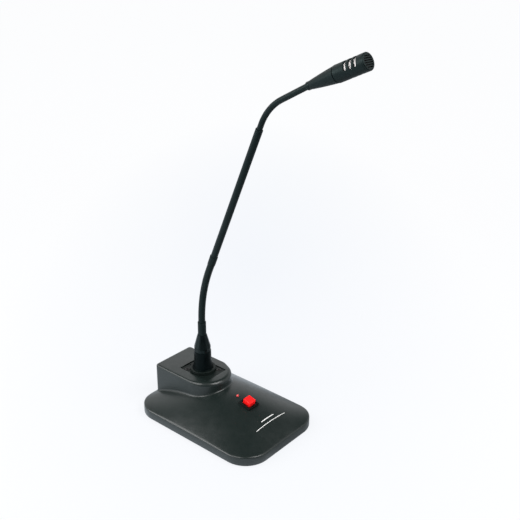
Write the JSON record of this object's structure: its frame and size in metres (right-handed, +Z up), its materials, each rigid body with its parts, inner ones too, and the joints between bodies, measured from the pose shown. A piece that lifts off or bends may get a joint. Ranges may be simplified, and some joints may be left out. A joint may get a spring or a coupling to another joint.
{
  "type": "desk microphone",
  "caption": "Paging microphone on a crowned desk base: a red push button, a lamp and a plug-in bending neck that carries a slotted microphone head.",
  "frame": {"origin": "on the table under the centre of the whole object's bounding box", "axes": "+Z up, -Y towards the user, +X to the user's right"},
  "size_m": [0.1, 0.2086, 0.3472],
  "materials": {
    "cover_plastic": "fine moulded grain",
    "plate_steel": "powder coat",
    "ballast_iron": "as cast",
    "foot_rubber": "matt",
    "screw_steel": "zinc plated",
    "socket_black": "black coat",
    "insert_plastic": "satin",
    "contact_brass": "plated",
    "spring_steel": "bright wire",
    "switch_plastic": "satin",
    "button_red": "semi-gloss",
    "lamp_red": "diffused lens",
    "board_green": "solder mask",
    "board_dark": "sleeved",
    "outlet_rubber": "matt",
    "plug_black": "satin",
    "neck_black": "black oxide",
    "stem_black": "satin black",
    "head_black": "fine texture",
    "mesh_steel": "woven wire"
  },
  "bodies": {
    "base": {"top_cover": "cover_plastic", "bottom_plate": "plate_steel", "ballast_bars": "ballast_iron", "rubber_feet": "foot_rubber", "cover_screws": "screw_steel", "socket_housing": "socket_black", "socket_insert": "insert_plastic", "socket_contacts": "contact_brass", "socket_screws": "screw_steel", "latch_spring": "spring_steel", "switch_bezel": "switch_plastic", "switch_body": "switch_plastic", "switch_terminals": "contact_brass", "button_spring": "spring_steel", "lamp": "lamp_red", "lamp_leads": "screw_steel", "circuit_board": "board_green", "board_posts": "contact_brass", "board_screws": "screw_steel", "board_parts": "board_dark", "cable_outlet": "outlet_rubber"},
    "button": {"button_cap": "button_red", "button_plunger": "switch_plastic"},
    "latch": {"release_latch": "socket_black"},
    "plug": {"plug_shell": "plug_black", "plug_insert": "insert_plastic", "plug_pins": "contact_brass", "plug_boot": "plug_black", "neck_ferrule": "neck_black"},
    "lower_link_1": {"lower_link_1": "neck_black"},
    "lower_link_2": {"lower_link_2": "neck_black"},
    "lower_link_3": {"lower_link_3": "neck_black"},
    "lower_link_4": {"lower_link_4": "neck_black"},
    "lower_link_5": {"lower_link_5": "neck_black"},
    "lower_link_6": {"lower_link_6": "neck_black"},
    "stem": {"stem_collar": "neck_black", "stem_tube": "stem_black", "stem_ferrule": "neck_black"},
    "upper_link_1": {"upper_link_1": "neck_black"},
    "upper_link_2": {"upper_link_2": "neck_black"},
    "upper_link_3": {"upper_link_3": "neck_black"},
    "upper_link_4": {"upper_link_4": "neck_black"},
    "upper_link_5": {"upper_link_5": "neck_black"},
    "upper_link_6": {"upper_link_6": "neck_black"},
    "head": {"head_collar": "head_black", "head_housing": "head_black", "head_barrel": "head_black", "mesh_screen": "mesh_steel", "front_grille": "head_black", "capsule": "mesh_steel", "capsule_holder": "outlet_rubber"}
  },
  "joints": [
    {"name": "button_press", "type": "slide", "parent": "base", "child": "button", "axis": [0, 0.2373, -0.9714], "range_m": [0, 0.003], "stiffness_N_per_m": 300, "springref_m": -0.004, "deforming": ["button_spring"]},
    {"name": "latch_press", "type": "slide", "parent": "base", "child": "latch", "axis": [0, 0, -1], "range_m": [0, 0.0008], "stiffness_N_per_m": 800, "springref_m": -0.002, "deforming": ["latch_spring"]},
    {"name": "plug_pull", "type": "slide", "parent": "base", "child": "plug", "axis": [0, 0, 1], "range_m": [0, 0.03]},
    {"name": "lower_tilt", "type": "hinge", "parent": "plug", "child": "lower_link_1", "pos_m": [0, 0.06076, 0.095], "axis": [1, 0, 0], "range_deg": [-12, 12]},
    {"name": "lower_sway", "type": "hinge", "parent": "lower_link_1", "child": "lower_link_2", "pos_m": [0, 0.06024, 0.10398], "axis": [0, 0.996, 0.0897], "range_deg": [-12, 12]},
    {"name": "lower_tilt_2", "type": "hinge", "parent": "lower_link_2", "child": "lower_link_3", "pos_m": [0, 0.05915, 0.11292], "axis": [1, 0, 0], "range_deg": [-12, 12]},
    {"name": "lower_sway_2", "type": "hinge", "parent": "lower_link_3", "child": "lower_link_4", "pos_m": [0, 0.05747, 0.12176], "axis": [0, 0.9761, 0.2175], "range_deg": [-12, 12]},
    {"name": "lower_tilt_3", "type": "hinge", "parent": "lower_link_4", "child": "lower_link_5", "pos_m": [0, 0.05523, 0.13047], "axis": [1, 0, 0], "range_deg": [-12, 12]},
    {"name": "lower_sway_3", "type": "hinge", "parent": "lower_link_5", "child": "lower_link_6", "pos_m": [0, 0.05244, 0.13902], "axis": [0, 0.9398, 0.3416], "range_deg": [-12, 12]},
    {"name": "lower_tilt_4", "type": "hinge", "parent": "lower_link_6", "child": "stem", "pos_m": [0, 0.0491, 0.14738], "axis": [1, 0, 0], "range_deg": [-12, 12]},
    {"name": "upper_tilt", "type": "hinge", "parent": "stem", "child": "upper_link_1", "pos_m": [0, -0.00864, 0.28407], "axis": [1, 0, 0], "range_deg": [-15, 15]},
    {"name": "upper_sway", "type": "hinge", "parent": "upper_link_1", "child": "upper_link_2", "pos_m": [0, -0.01278, 0.29176], "axis": [0, 0.8288, 0.5595], "range_deg": [-15, 15]},
    {"name": "upper_tilt_2", "type": "hinge", "parent": "upper_link_2", "child": "upper_link_3", "pos_m": [0, -0.01837, 0.29849], "axis": [1, 0, 0], "range_deg": [-15, 15]},
    {"name": "upper_sway_2", "type": "hinge", "parent": "upper_link_3", "child": "upper_link_4", "pos_m": [0, -0.02518, 0.30397], "axis": [0, 0.5469, 0.8372], "range_deg": [-15, 15]},
    {"name": "upper_tilt_3", "type": "hinge", "parent": "upper_link_4", "child": "upper_link_5", "pos_m": [0, -0.03281, 0.30827], "axis": [1, 0, 0], "range_deg": [-15, 15]},
    {"name": "upper_sway_3", "type": "hinge", "parent": "upper_link_5", "child": "upper_link_6", "pos_m": [0, -0.04051, 0.31243], "axis": [0, 0.4756, 0.8796], "range_deg": [-15, 15]},
    {"name": "upper_tilt_4", "type": "hinge", "parent": "upper_link_6", "child": "head", "pos_m": [0, -0.04821, 0.3166], "axis": [1, 0, 0], "range_deg": [-15, 15]}
  ],
  "couplings": [
    {"joint": "lower_tilt_2", "follows": "lower_tilt", "ratio": 1},
    {"joint": "lower_sway_2", "follows": "lower_sway", "ratio": 1},
    {"joint": "lower_tilt_3", "follows": "lower_tilt", "ratio": 1},
    {"joint": "lower_sway_3", "follows": "lower_sway", "ratio": 1},
    {"joint": "lower_tilt_4", "follows": "lower_tilt", "ratio": 1},
    {"joint": "upper_tilt_2", "follows": "upper_tilt", "ratio": 1},
    {"joint": "upper_sway_2", "follows": "upper_sway", "ratio": 1},
    {"joint": "upper_tilt_3", "follows": "upper_tilt", "ratio": 1},
    {"joint": "upper_sway_3", "follows": "upper_sway", "ratio": 1},
    {"joint": "upper_tilt_4", "follows": "upper_tilt", "ratio": 1}
  ]
}
